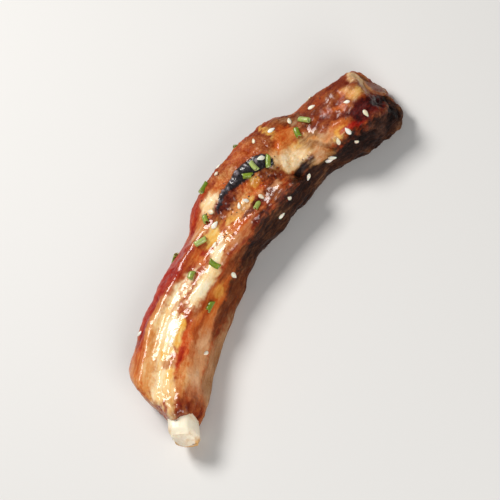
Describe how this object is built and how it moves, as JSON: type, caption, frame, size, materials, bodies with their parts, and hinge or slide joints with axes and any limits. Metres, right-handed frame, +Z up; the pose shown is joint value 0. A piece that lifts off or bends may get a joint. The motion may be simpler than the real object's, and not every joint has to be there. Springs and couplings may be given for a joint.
{
  "type": "glazed pork rib",
  "caption": "Single cut glazed pork rib: bowed strip of meat on its bone, with a bare bone end, sesame seeds and chopped chives.",
  "frame": {"origin": "bottom centre of the bounding box, on the surface that the rib lies on", "axes": "+X from the bare bone end to the thick end, +Y towards the outer convex side, +Z up from the cut face that the rib lies on to the cut face that shows"},
  "size_m": [0.1694, 0.062, 0.0266],
  "materials": {
    "meat": "roasted pork with a sticky glossy glaze, red-brown to orange with pale fat and a burnt seam",
    "bone": "cream cooked bone, satin, with brown stains and dark specks",
    "sesame_seed": "hulled white sesame seed, satin",
    "chive": "fresh chopped chive, thin green tube, moist"
  },
  "bodies": {
    "root": {"meat": "meat", "bone": "bone"}
  },
  "joints": []
}
